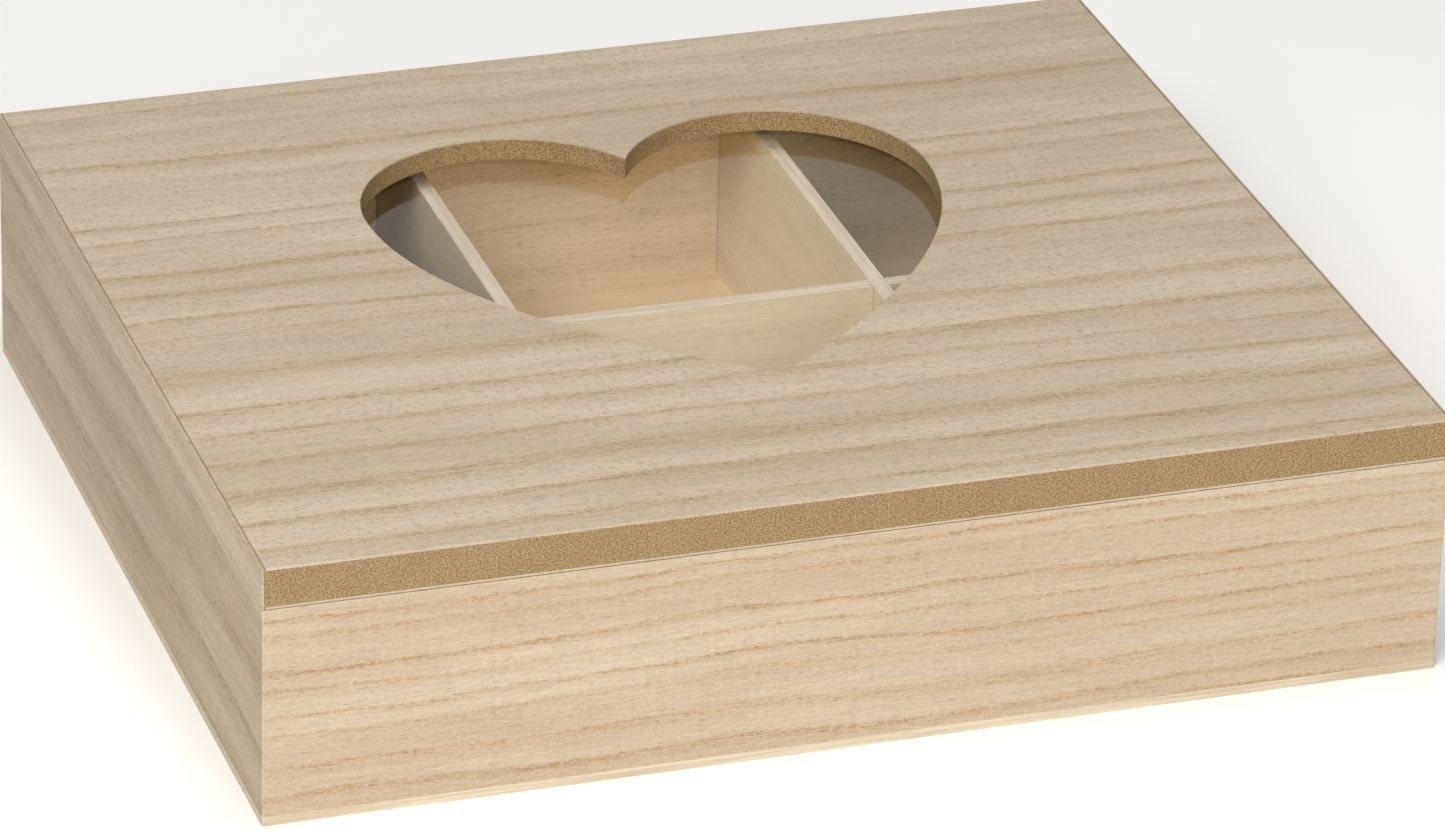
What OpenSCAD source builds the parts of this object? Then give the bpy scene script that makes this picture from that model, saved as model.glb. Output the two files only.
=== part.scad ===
// Hinged wooden keepsake and tea box with a heart-shaped window in its lid.
// Six compartments under a flat lid: fibreboard core, thin wood skins, clear pane behind the heart.
// Frame: origin at the centre of the base's underside, +X right, +Y to the hinges, +Z up.

/* [Overall] */
// Outside width of the closed box, along X
box_w = 250; // [180:1:340]
// Outside depth of the closed box, along Y, without the hinge barrels
box_d = 220; // [160:1:300]
// Outside height of the closed box
box_h = 57.5; // [45:0.5:110]
// Radius that the upright corners are sanded to
corner_r = 0.4; // [0.2:0.1:4]

/* [Body] */
// Thickness of the four mitred walls
wall_t = 7; // [5:0.5:14]
// Thickness of the plywood base board
base_t = 2; // [1.5:0.1:6]
// Gap between the walls' rim and the closed lid
seam_gap = 0.2; // [0.1:0.05:0.6]

/* [Dividers] */
// Thickness of the divider slats
divider_t = 3.4; // [2:0.1:6]
// How far the dividers stop below the walls' rim
divider_drop = 0.5; // [0.2:0.1:10]
// Depth of the grooves in the walls that hold the divider ends
groove_depth = 2; // [1:0.1:4]
// Clearance on each side of a divider in its groove or lap
divider_fit = 0.1; // [0.05:0.01:0.3]

/* [Lid] */
// Thickness of the whole lid, skins included
lid_t = 9; // [7:0.5:18]
// Thickness of the wood skins above and below the lid's core
veneer_t = 0.5; // [0.3:0.1:1.2]
// Thickness of the wood bands on the lid's left and right edges
band_t = 0.5; // [0.3:0.1:1.2]

/* [Heart] */
// Width of the heart cut-out
heart_w = 125.4; // [60:0.2:170]
// Height of the heart cut-out, tip to lobe tops, along Y
heart_h = 124.8; // [60:0.2:170]
// Radius of the two round lobes
lobe_r = 33.5; // [16:0.5:42]
// Distance of the heart's centre behind the lid's centre
heart_shift = 8; // [-10:0.5:14]
// Angle of the flanks at the tip, above the X direction
tip_angle = 35; // [20:1:60]

/* [Window] */
// Width of the clear pane
pane_w = 150; // [80:1:200]
// Depth of the clear pane, along Y
pane_d = 150; // [80:1:200]
// Thickness of the clear pane
pane_t = 2; // [1:0.1:3]
// Lid thickness left above the recess that takes the pane
cut_depth = 5; // [3:0.1:8]
// Clearance round the pane in its recess
pane_fit = 0.5; // [0.2:0.1:1.5]
// Thickness of the adhesive strips that hold the pane
tape_t = 0.5; // [0.2:0.05:1]
// Width of the adhesive strips
tape_w = 6; // [3:0.5:12]

/* [Hinges] */
// Length of each hinge along X
hinge_len = 25; // [16:0.5:60]
// Distance of each hinge's middle from the nearer side of the box
hinge_inset = 45; // [25:1:80]
// Distance from the upper leaf's edge to the lid's top
leaf_margin = 0.8; // [0.3:0.1:2]
// Thickness of the leaf metal
leaf_t = 1; // [0.6:0.1:1.6]
// Outside radius of the knuckles
knuckle_r = 1.95; // [1.7:0.05:4]
// Radius of the hinge pin
pin_r = 0.9; // [0.6:0.05:2]
// Radial running clearance of the lid's knuckle on the pin
pin_run = 0.05; // [0.02:0.01:0.1]
// Radial clearance of the pin in the fixed knuckles
pin_hold = 0.01; // [0.01:0.01:0.03]
// Gap between neighbouring knuckles
knuckle_gap = 0.15; // [0.05:0.05:0.5]
// Clearance between the knuckles and the wood behind them
wood_gap = 0.1; // [0.05:0.05:0.4]
// Angle at which the hinges' ears stop the lid
open_stop = 100; // [90:1:115]
// Reach of each stop ear from the pin's axis
ear_len = 4; // [3:0.1:7]
// Clearance left under a stop ear when the lid is fully open
ear_fit = 0.05; // [0.02:0.01:0.2]

/* [Screws] */
// Length of the screws in the back wall, head included
wall_screw_len = 6; // [4:0.5:12]
// Length of the screws in the lid, head included
lid_screw_len = 8; // [5:0.5:20]
// Radius of the screw shanks
screw_r = 0.8; // [0.6:0.05:1.5]
// Radius of the countersunk heads
head_r = 1.6; // [1.3:0.05:3]
// Distance of each screw from the end of its leaf
screw_inset = 5; // [3:0.1:12]
// Clearance round the screws in wood and metal
screw_fit = 0.03; // [0.01:0.01:0.2]

/* [Hidden] */
$fn = 48;
cut = 1;                                     // how far a cutter passes through a surface

lid_z = box_h - lid_t;                       // underside of the lid
rim_z = lid_z - seam_gap;                    // rim of the walls
inner_w = box_w - 2 * wall_t;
inner_d = box_d - 2 * wall_t;

divider_z = rim_z - divider_drop;            // tops of the dividers
lap_z = (base_t + divider_z) / 2;            // height at which the dividers lap
cell_w = (inner_w - 2 * divider_t) / 3;      // clear width of a compartment
divider_x = (cell_w + divider_t) / 2;        // long dividers stand at plus and minus this
slot_w = divider_t + 2 * divider_fit;

heart_top = heart_shift + heart_h / 2;
heart_tip = heart_shift - heart_h / 2;
lobe_x = heart_w / 2 - lobe_r;               // centre of the right lobe
lobe_y = heart_top - lobe_r;
cleft_a = 180 - acos(lobe_x / lobe_r);       // where the lobes meet, seen from the right lobe's centre

recess_w = pane_w + 2 * pane_fit;
recess_d = pane_d + 2 * pane_fit;
recess_z = box_h - cut_depth;                // ceiling of the pane's recess
pane_z = recess_z - tape_t - pane_t;         // underside of the pane

back_y = box_d / 2;
pin_off = knuckle_r + wood_gap;              // the pin's axis behind the back face
pin_y = back_y + pin_off;
pin_z = lid_z - seam_gap / 2;
hinge_x = box_w / 2 - hinge_inset;
knuckle_len = (hinge_len - 2 * knuckle_gap) / 3;
leaf_h = box_h - leaf_margin - pin_z;        // height of each leaf, from the pin's axis
notch_z = knuckle_r + knuckle_gap;           // a plate stops this far from the axis, beside the other knuckle
ear_off = pin_off - leaf_t - ear_fit;        // the ear's striking face, measured from the axis
ear_root = (pin_r + knuckle_r) / 2;          // the ear grows out of the middle of the knuckle's wall
ear_w = 0.92 * knuckle_len;                  // the ear stands a little inside the knuckle's end faces
screw_x = hinge_len / 2 - screw_inset;
screw_dz = (notch_z + leaf_h) / 2;           // screws sit midway up the plates

wood = [0.83, 0.75, 0.63];
pale_wood = [0.88, 0.82, 0.72];
fibreboard = [0.69, 0.58, 0.42];
brass = [0.80, 0.66, 0.36];

// ---- outlines ----

// Rectangle with arc corners, centred on the origin
module sanded_rect(w, d) {
    square([w - 2 * corner_r, d], center = true);
    square([w, d - 2 * corner_r], center = true);
    for (sx = [-1, 1], sy = [-1, 1])
        translate([sx * (w / 2 - corner_r), sy * (d / 2 - corner_r)])
            circle(r = corner_r);
}

function bezier(a, b, c, d, t) =
    a * pow(1 - t, 3) + 3 * b * t * pow(1 - t, 2) + 3 * c * t * t * (1 - t) + d * pow(t, 3);

// Right half of the heart: lobe arc from the cleft to the widest point, then one curve down to the tip
lobe_steps = 48;
flank_steps = 30;
flank_pull = 0.41 * (lobe_y - heart_tip);    // how long the flank keeps the widest point's direction
tip_pull = 0.39 * (lobe_y - heart_tip);      // how long it keeps the tip's direction
heart_half = concat(
    [for (i = [0 : lobe_steps])
        let (a = cleft_a * (1 - i / lobe_steps))
        [lobe_x + lobe_r * cos(a), lobe_y + lobe_r * sin(a)]],
    [for (i = [1 : flank_steps - 1])
        bezier([lobe_x + lobe_r, lobe_y], [lobe_x + lobe_r, lobe_y - flank_pull],
               [tip_pull * cos(tip_angle), heart_tip + tip_pull * sin(tip_angle)], [0, heart_tip],
               i / flank_steps)],
    [[0, heart_tip]]);

module heart() {
    polygon(concat(heart_half,
                   [for (i = [len(heart_half) - 2 : -1 : 1]) [-heart_half[i][0], heart_half[i][1]]]));
}

// ---- body ----

module base_board() {
    color(pale_wood)
        linear_extrude(base_t)
            sanded_rect(box_w, box_d);
}

// A wall along X, outer face towards -Y, mitred at both ends; w is the outside length
module mitred_wall(w, y_out) {
    intersection() {
        translate([0, 0, base_t])
            linear_extrude(rim_z - base_t)
                polygon([[-w / 2, -y_out], [w / 2, -y_out],
                         [w / 2 - wall_t, -y_out + wall_t], [-w / 2 + wall_t, -y_out + wall_t]]);
        translate([0, 0, base_t])
            linear_extrude(rim_z - base_t)
                sanded_rect(w, 2 * y_out);
    }
}

// Upright groove in the inner face of a wall along X
module divider_groove(x, y_out) {
    translate([x - slot_w / 2, -y_out + wall_t - groove_depth, base_t - cut])
        cube([slot_w, groove_depth + cut, rim_z - base_t + 2 * cut]);
}

module long_wall() {
    difference() {
        mitred_wall(box_w, box_d / 2);
        for (sx = [-1, 1])
            divider_groove(sx * divider_x, box_d / 2);
    }
}

module side_wall() {
    difference() {
        mitred_wall(box_d, box_w / 2);
        divider_groove(0, box_w / 2);
    }
}

module front_wall() {
    color(wood)
        long_wall();
}

module back_wall() {
    color(wood)
        difference() {
            rotate([0, 0, 180])
                long_wall();
            for (sx = [-1, 1], hx = [-1, 1])
                pilot([hx * hinge_x + sx * screw_x, back_y, pin_z - screw_dz], wall_screw_len);
        }
}

module left_wall() {
    color(wood)
        rotate([0, 0, -90])
            side_wall();
}

module right_wall() {
    color(wood)
        rotate([0, 0, 90])
            side_wall();
}

// ---- dividers ----

// Front-to-back slat, cut from below where the cross slat passes
module long_divider(x) {
    length = inner_d + 2 * (groove_depth - divider_fit);
    difference() {
        translate([x - divider_t / 2, -length / 2, base_t])
            cube([divider_t, length, divider_z - base_t]);
        translate([x - divider_t / 2 - cut, -slot_w / 2, base_t - cut])
            cube([divider_t + 2 * cut, slot_w, lap_z - base_t + cut + divider_fit / 2]);
    }
}

module left_divider() {
    color(pale_wood)
        long_divider(-divider_x);
}

module right_divider() {
    color(pale_wood)
        long_divider(divider_x);
}

// Side-to-side slat, cut from above where the long slats pass
module cross_divider() {
    length = inner_w + 2 * (groove_depth - divider_fit);
    color(pale_wood)
        difference() {
            translate([-length / 2, -divider_t / 2, base_t])
                cube([length, divider_t, divider_z - base_t]);
            for (sx = [-1, 1])
                translate([sx * divider_x - slot_w / 2, -divider_t / 2 - cut, lap_z - divider_fit / 2])
                    cube([slot_w, divider_t + 2 * cut, divider_z - lap_z + cut]);
        }
}

// ---- lid ----

// A layer of the lid from height z, t thick, between the edge bands
module lid_layer(z, t) {
    intersection() {
        translate([0, 0, z])
            linear_extrude(t)
                sanded_rect(box_w, box_d);
        translate([-box_w / 2 + band_t, -box_d, z - cut])
            cube([box_w - 2 * band_t, 2 * box_d, t + 2 * cut]);
    }
}

module recess_cutter(z_low) {
    translate([-recess_w / 2, heart_shift - recess_d / 2, z_low - cut])
        cube([recess_w, recess_d, recess_z - z_low + cut]);
}

module lid_core() {
    core_z = lid_z + veneer_t;
    core_t = lid_t - 2 * veneer_t;
    color(fibreboard)
        difference() {
            lid_layer(core_z, core_t);
            translate([0, 0, recess_z - cut])
                linear_extrude(cut_depth + 2 * cut)
                    heart();
            recess_cutter(core_z);
            for (sx = [-1, 1], hx = [-1, 1])
                pilot([hx * hinge_x + sx * screw_x, back_y, pin_z + screw_dz], lid_screw_len);
        }
}

module lid_top_veneer() {
    color(wood)
        difference() {
            lid_layer(box_h - veneer_t, veneer_t);
            translate([0, 0, box_h - veneer_t - cut])
                linear_extrude(veneer_t + 2 * cut)
                    heart();
        }
}

module lid_bottom_veneer() {
    color(wood)
        difference() {
            lid_layer(lid_z, veneer_t);
            recess_cutter(lid_z);
        }
}

module lid_band(sx) {
    intersection() {
        translate([0, 0, lid_z])
            linear_extrude(lid_t)
                sanded_rect(box_w, box_d);
        translate([sx * (box_w - band_t) / 2 - band_t / 2, -box_d, lid_z - cut])
            cube([band_t, 2 * box_d, lid_t + 2 * cut]);
    }
}

module lid_left_band() {
    color(wood)
        lid_band(-1);
}

module lid_right_band() {
    color(wood)
        lid_band(1);
}

module window_pane() {
    color([0.85, 0.92, 0.95, 0.3])
        translate([-pane_w / 2, heart_shift - pane_d / 2, pane_z])
            cube([pane_w, pane_d, pane_t]);
}

// Four strips round the pane's border, between the pane and the recess's ceiling
module pane_tape() {
    color("white") {
        for (sy = [-1, 1])
            translate([-pane_w / 2, heart_shift + sy * (pane_d - tape_w) / 2 - tape_w / 2, pane_z + pane_t])
                cube([pane_w, tape_w, tape_t]);
        for (sx = [-1, 1])
            translate([sx * (pane_w - tape_w) / 2 - tape_w / 2, heart_shift - pane_d / 2 + tape_w + pane_fit,
                       pane_z + pane_t])
                cube([tape_w, pane_d - 2 * (tape_w + pane_fit), tape_t]);
    }
}

// ---- hinges ----

// Cylinder along X, centred on x
module bar_x(x, r, length) {
    translate([x - length / 2, 0, 0])
        rotate([0, 90, 0])
            cylinder(r = r, h = length);
}

// Straight hole for a screw, in the wood behind a leaf
module pilot(p, length) {
    translate([p[0], p[1] - length + leaf_t - cut / 2, p[2]])
        rotate([-90, 0, 0])
            cylinder(r = screw_r + screw_fit, h = length + cut);
}

// Countersunk hole in a leaf, seen from its outer face; side is -1 for the lower leaf, +1 for the upper
module leaf_hole(x, side) {
    translate([x, 0, side * screw_dz]) {
        translate([0, -cut, 0])
            rotate([-90, 0, 0])
                cylinder(r = screw_r + screw_fit, h = leaf_t + 2 * cut);
        translate([0, leaf_t - (head_r - screw_r), 0])
            rotate([-90, 0, 0])
                cylinder(r1 = screw_r + screw_fit, r2 = head_r + screw_fit, h = head_r - screw_r);
    }
}

// Flat part of a leaf, in the hinge's frame: the wood's face at y = 0, the pin's axis at z = 0
module leaf_plate(side) {
    z_low = side > 0 ? notch_z : -leaf_h;
    translate([-hinge_len / 2, 0, z_low])
        cube([hinge_len, leaf_t, leaf_h - notch_z]);
}

// Neck that joins a knuckle to its plate
module leaf_neck(x, side) {
    z_low = side > 0 ? 0 : -notch_z;
    translate([x - knuckle_len / 2, 0, z_low])
        cube([knuckle_len, leaf_t, notch_z]);
}

module body_leaf() {
    color(brass)
        difference() {
            union() {
                leaf_plate(-1);
                for (sx = [-1, 1]) {
                    leaf_neck(sx * (knuckle_len + knuckle_gap), -1);
                    translate([0, pin_off, 0])
                        bar_x(sx * (knuckle_len + knuckle_gap), knuckle_r, knuckle_len);
                }
            }
            translate([0, pin_off, 0])
                bar_x(0, pin_r + pin_hold, hinge_len + 2 * cut);
            for (sx = [-1, 1])
                leaf_hole(sx * screw_x, -1);
        }
}

// The upper leaf's knuckle ends in an ear that meets the lower leaf when the lid is open
module lid_leaf() {
    color(brass)
        difference() {
            union() {
                leaf_plate(1);
                leaf_neck(0, 1);
                translate([0, pin_off, 0]) {
                    bar_x(0, knuckle_r, knuckle_len);
                    rotate([open_stop - 90, 0, 0])
                        translate([-ear_w / 2, ear_root, -ear_off])
                            cube([ear_w, ear_len - ear_root, ear_off]);
                }
            }
            translate([0, pin_off, 0])
                bar_x(0, pin_r + pin_run, hinge_len + 2 * cut);
            for (sx = [-1, 1])
                leaf_hole(sx * screw_x, 1);
        }
}

module at_hinge(side) {
    translate([side * hinge_x, back_y, pin_z])
        children();
}

module left_hinge_body_leaf() {
    at_hinge(-1)
        body_leaf();
}

module right_hinge_body_leaf() {
    at_hinge(1)
        body_leaf();
}

module left_hinge_lid_leaf() {
    at_hinge(-1)
        lid_leaf();
}

module right_hinge_lid_leaf() {
    at_hinge(1)
        lid_leaf();
}

module hinge_pin() {
    color(brass)
        translate([0, pin_off, 0])
            bar_x(0, pin_r, hinge_len);
}

module left_hinge_pin() {
    at_hinge(-1)
        hinge_pin();
}

module right_hinge_pin() {
    at_hinge(1)
        hinge_pin();
}

// Countersunk wood screw along -Y, its head's face at y = 0, with a cross recess and a pointed end
module screw(length) {
    head_h = head_r - screw_r;
    point = 2 * screw_r;
    recess = 0.55 * head_r;
    difference() {
        union() {
            rotate([90, 0, 0])
                cylinder(r1 = head_r, r2 = screw_r, h = head_h);
            rotate([90, 0, 0])
                cylinder(r = screw_r, h = length - point);
            translate([0, point - length, 0])
                rotate([90, 0, 0])
                    cylinder(r1 = screw_r, r2 = 0.1, h = point - 0.5);
        }
        for (a = [45, 135])
            rotate([0, a, 0])
                cube([2 * recess, 2 * 0.45, 0.3], center = true);
    }
}

module screw_set(side, length) {
    color(brass)
        for (hx = [-1, 1], sx = [-1, 1])
            translate([hx * hinge_x + sx * screw_x, back_y + leaf_t, pin_z + side * screw_dz])
                screw(length);
}

module body_screws() {
    screw_set(-1, wall_screw_len);
}

module lid_screws() {
    screw_set(1, lid_screw_len);
}

base_board();
front_wall();
back_wall();
left_wall();
right_wall();
left_divider();
right_divider();
cross_divider();
left_hinge_body_leaf();
right_hinge_body_leaf();
left_hinge_pin();
right_hinge_pin();
body_screws();
lid_core();
lid_top_veneer();
lid_bottom_veneer();
lid_left_band();
lid_right_band();
window_pane();
pane_tape();
left_hinge_lid_leaf();
right_hinge_lid_leaf();
lid_screws();
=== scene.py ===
# %% [markdown]
# # A hinged wooden box with a heart window
# This lesson dresses the finished model of a low keepsake box. The real box is raw, unvarnished wood:
# thin boards and skins of paulownia, a lid whose core is fibreboard, pale slats inside, a clear pane
# behind a heart-shaped cut-out, and two small brass hinges at the back. The shapes come ready made, so
# the work here is arrises, grain, pores, dust, metal and light.

# %% Load the frame
import math

import bpy
from mathutils import Matrix, Vector


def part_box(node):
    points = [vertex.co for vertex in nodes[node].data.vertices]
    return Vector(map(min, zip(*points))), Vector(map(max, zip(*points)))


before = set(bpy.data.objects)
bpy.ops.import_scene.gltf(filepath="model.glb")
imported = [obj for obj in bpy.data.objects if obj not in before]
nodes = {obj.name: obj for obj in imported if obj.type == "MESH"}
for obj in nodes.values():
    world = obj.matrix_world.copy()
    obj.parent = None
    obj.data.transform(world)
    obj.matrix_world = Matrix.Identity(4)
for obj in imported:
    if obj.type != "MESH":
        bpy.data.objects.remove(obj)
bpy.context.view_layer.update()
MM = 0.001

# %% [markdown]
# ## The sizes that the finishes need
# Grain, glue lines and mitres follow the boards, so their places are read from the boards and never typed
# in. A few heights, half the box's width and depth, and the joint of the side bands are enough for all.

# %% Measure the boards
base_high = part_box("base_board")[1]
half_w = base_high.x
half_d = base_high.y
rim_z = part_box("front_wall")[1].z
divider_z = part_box("cross_divider")[1].z
lid_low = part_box("lid_bottom_veneer")[0].z
skin_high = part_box("lid_top_veneer")[1]
lid_high = skin_high.z
band_x = skin_high.x
print("rim", rim_z, "lid from", lid_low, "to", lid_high, "band joint at", band_x)

# %% [markdown]
# ## The camera
# It looks from the front left and from above, from far away through a long lens, which keeps the far edge
# nearly as wide as the near one. The box lies a little turned in the frame, so the camera rolls slightly
# and aims a little beside the middle. It is made first, because everything after it is judged through it.

# %% Place the camera
view_turn = math.radians(18.71)
view_drop = math.radians(26.68)
view_roll = math.radians(-1.645)
distance_in_widths = 6.844
beside_in_widths = 0.021
below_in_widths = 0.0267
view_distance = distance_in_widths * 2 * half_w
aim = Vector((0, 0, lid_high / 2))

forward = Vector((math.sin(view_turn) * math.cos(view_drop), math.cos(view_turn) * math.cos(view_drop),
                  -math.sin(view_drop)))
level = Vector((math.cos(view_turn), -math.sin(view_turn), 0))
below = forward.cross(level)
side = math.cos(view_roll) * level + math.sin(view_roll) * below
down = math.cos(view_roll) * below - math.sin(view_roll) * level
eye = aim - forward * view_distance + (beside_in_widths * side + below_in_widths * down) * 2 * half_w

camera = bpy.data.objects.new("camera", bpy.data.cameras.new("camera"))
bpy.context.scene.collection.objects.link(camera)
camera.data.sensor_width = 36
camera.data.lens = 201.2
camera.data.clip_end = 30
camera.matrix_world = Matrix.Translation(eye) @ Matrix((side, -down, -forward)).transposed().to_4x4()
bpy.context.scene.camera = camera
print("camera", round(view_distance, 3), "m away")

# %% [markdown]
# ## Light
# Raw wood looks right in a large, soft light from one side, which shows the pores without hard shadows.
# A broad panel stands in front, to the left and high up, so the front is brightest, the top a little
# quieter and the left side darkest. A low panel shines through the window on to the back wall, and one
# overhead fills the compartments. A wide panel behind the box has one task: the clear pane mirrors it, as
# a real pane mirrors a bright ceiling. The sky is an even pale grey.

# %% Hang the panels
scene = bpy.context.scene
scene.view_settings.view_transform = "Standard"
sky = bpy.data.worlds.new("studio")
sky.use_nodes = True
sky.node_tree.nodes["Background"].inputs["Color"].default_value = (1.0, 0.985, 0.965, 1)
sky.node_tree.nodes["Background"].inputs["Strength"].default_value = 0.25
scene.world = sky


def panel(name, azimuth, elevation, distance, size, watts, colour):
    """A square lamp that faces the box; azimuth 0 is in front and grows to the left."""
    turn = math.radians(azimuth)
    lift = math.radians(elevation)
    place = Vector((-math.sin(turn) * math.cos(lift), -math.cos(turn) * math.cos(lift), math.sin(lift)))
    lamp = bpy.data.objects.new(name, bpy.data.lights.new(name, "AREA"))
    lamp.data.size = size
    lamp.data.energy = watts
    lamp.data.color = colour
    lamp.location = aim + place * distance
    lamp.rotation_mode = "QUATERNION"
    lamp.rotation_quaternion = place.to_track_quat("Z", "Y")
    scene.collection.objects.link(lamp)
    print(name, [round(v, 2) for v in lamp.location], watts, "W")


daylight = (1.0, 0.98, 0.95)
ceiling_white = (1.0, 0.985, 0.96)
warm_wall = (1.0, 0.95, 0.9)
panel("key_panel", azimuth=38, elevation=40, distance=1.6, size=0.7, watts=15.7, colour=daylight)
panel("low_panel", azimuth=2, elevation=25, distance=1.6, size=0.5, watts=6.9, colour=daylight)
panel("overhead_panel", azimuth=10, elevation=86, distance=1.6, size=0.7, watts=9.6, colour=ceiling_white)
panel("back_panel", azimuth=199, elevation=30, distance=2.0, size=1.6, watts=3.6, colour=warm_wall)

# %% [markdown]
# ## A pale table
# The floor is one wide sheet of matt off-white. It is staging, so it rides on nothing.

# %% Lay the floor
reach = 6.0
corners = [(-reach, -reach, 0), (reach, -reach, 0), (reach, reach, 0), (-reach, reach, 0)]
table_mesh = bpy.data.meshes.new("table")
table_mesh.from_pydata(corners, [], [(0, 1, 2, 3)])
table = bpy.data.objects.new("table", table_mesh)
scene.collection.objects.link(table)

paper = bpy.data.materials.new("table_paper")
paper.use_nodes = True
shader = paper.node_tree.nodes["Principled BSDF"]
shader.inputs["Base Color"].default_value = (0.93, 0.93, 0.925, 1)
shader.inputs["Roughness"].default_value = 0.9
shader.inputs["Specular IOR Level"].default_value = 0.1
table.data.materials.append(paper)
print("table", reach * 2, "m wide")

# %% [markdown]
# ## Short words for node trees
# Every shape effect and every finish below is a node tree. It could be drawn by hand in the editor, but most
# of it is the same few moves: make a node, feed its sockets with a number or a link, do one sum. A short
# function for each keeps the trees readable.


# %% Name the moves
def feed(tree, socket, value):
    """Gives a socket a link if value is a socket, and a plain value if not."""
    if isinstance(value, bpy.types.NodeSocket):
        tree.links.new(value, socket)
    else:
        socket.default_value = value


def add(tree, kind, links=None, **settings):
    """A node with its settings; links maps socket names to values or to other sockets."""
    made = tree.nodes.new(kind)
    for name, value in settings.items():
        setattr(made, name, value)
    for name, value in (links or {}).items():
        feed(tree, made.inputs[name], value)
    return made


def calc(tree, operation, *values, clamp=False):
    """One step of arithmetic on numbers or sockets."""
    made = add(tree, "ShaderNodeMath", dict(enumerate(values)), operation=operation, use_clamp=clamp)
    return made.outputs[0]


print("moves: feed, add and calc")

# %% [markdown]
# ## Sanded arrises
# A joiner rubs every open edge once with sandpaper, so it is rounded by a tenth or two of a millimetre and
# catches a thin line of light. The Bevel modifier can do that on the boards as they are, but only where an
# edge is open: the glued joints have to stay tight. A small geometry node tree therefore marks edges by
# their height and angle and skips the mitres, which lie as far in from the side as from the front.


# %% Mark the open edges
def geometry_tree(name, numbers):
    """An empty geometry tree with named numbers, and its two ends."""
    tree = bpy.data.node_groups.new(name, "GeometryNodeTree")
    tree.interface.new_socket("Geometry", in_out="INPUT", socket_type="NodeSocketGeometry")
    for number in numbers:
        tree.interface.new_socket(number, in_out="INPUT", socket_type="NodeSocketFloat")
    tree.interface.new_socket("Geometry", in_out="OUTPUT", socket_type="NodeSocketGeometry")
    return tree, tree.nodes.new("NodeGroupInput").outputs, tree.nodes.new("NodeGroupOutput").inputs


sharp_angle = math.radians(40)
mitre_slack = 5e-6
picker, given, result = geometry_tree("pick_arrises", ["From Z", "To Z", "Half Width", "Half Depth"])
spot = add(picker, "ShaderNodeSeparateXYZ", {0: add(picker, "GeometryNodeInputPosition").outputs[0]}).outputs
bend = add(picker, "GeometryNodeInputMeshEdgeAngle").outputs["Unsigned Angle"]
across = calc(picker, "SUBTRACT", given["Half Width"], calc(picker, "ABSOLUTE", spot["X"]))
along = calc(picker, "SUBTRACT", given["Half Depth"], calc(picker, "ABSOLUTE", spot["Y"]))
uneven = calc(picker, "ABSOLUTE", calc(picker, "SUBTRACT", across, along))
off_mitre = calc(picker, "GREATER_THAN", uneven, mitre_slack)
high_enough = calc(picker, "GREATER_THAN", spot["Z"], given["From Z"])
low_enough = calc(picker, "LESS_THAN", spot["Z"], given["To Z"])
mark = calc(picker, "MULTIPLY", calc(picker, "GREATER_THAN", bend, sharp_angle), off_mitre)
mark = calc(picker, "MULTIPLY", mark, calc(picker, "MULTIPLY", high_enough, low_enough))
bare = add(picker, "GeometryNodeRemoveAttribute", {"Geometry": given["Geometry"], "Name": "custom_normal"})
store = add(picker, "GeometryNodeStoreNamedAttribute",
            {"Geometry": bare.outputs[0], "Name": "bevel_weight_edge", "Value": mark},
            data_type="FLOAT", domain="EDGE")
picker.links.new(store.outputs[0], result["Geometry"])
print("edge marker:", len(picker.nodes), "nodes")

# %% [markdown]
# ## Flat and round faces
# A board's faces are flat, but the heart's edge is made of narrow strips that meet almost level. A second
# tree shades all faces smooth and then keeps only the nearly level edges soft, so the strips read as one
# curve and every real corner stays crisp.

# %% Shade by angle
shading, given, result = geometry_tree("shade_by_angle", ["Angle"])
bend = add(shading, "GeometryNodeInputMeshEdgeAngle").outputs["Unsigned Angle"]
level_enough = calc(shading, "LESS_THAN", bend, given["Angle"])
smooth_all = {"Geometry": given["Geometry"], "Shade Smooth": True}
round_faces = add(shading, "GeometryNodeSetShadeSmooth", smooth_all, domain="FACE")
smooth_some = {"Geometry": round_faces.outputs[0], "Shade Smooth": level_enough}
soft_edges = add(shading, "GeometryNodeSetShadeSmooth", smooth_some, domain="EDGE")
shading.links.new(soft_edges.outputs[0], result["Geometry"])
print("shading:", len(shading.nodes), "nodes")

# %% [markdown]
# ## Rounding the boards
# Each board gets the same four modifiers: a weld, the marker, the bevel that reads the marks, and the
# shading. Only the heights of the edges and the width of the arris differ. Thin skins get a finer arris
# than thick slats. The fibreboard's cut edges stay sharp, so its marker looks at a height with no edges.


# %% Sand the boards
def use_geometry(piece, tree, values):
    """Adds a geometry tree to a piece as a modifier with that piece's own values."""
    made = piece.modifiers.new(tree.name, "NODES")
    made.node_group = tree
    for socket in tree.interface.items_tree:
        if socket.in_out == "INPUT" and socket.name in values:
            made[socket.identifier] = values[socket.name]


def sand(name, levels, width):
    """Rounds the sharp edges of a board that lie at one of the heights in levels."""
    piece = nodes[name]
    weld = piece.modifiers.new("weld", "WELD")
    weld.merge_threshold = 1e-6
    use_geometry(piece, picker, {"From Z": min(levels) - height_slack, "To Z": max(levels) + height_slack,
                                 "Half Width": half_w, "Half Depth": half_d})
    rounding = piece.modifiers.new("arris", "BEVEL")
    rounding.limit_method = "WEIGHT"
    rounding.width = width
    rounding.segments = 2
    use_geometry(piece, shading, {"Angle": soft_angle})


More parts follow.
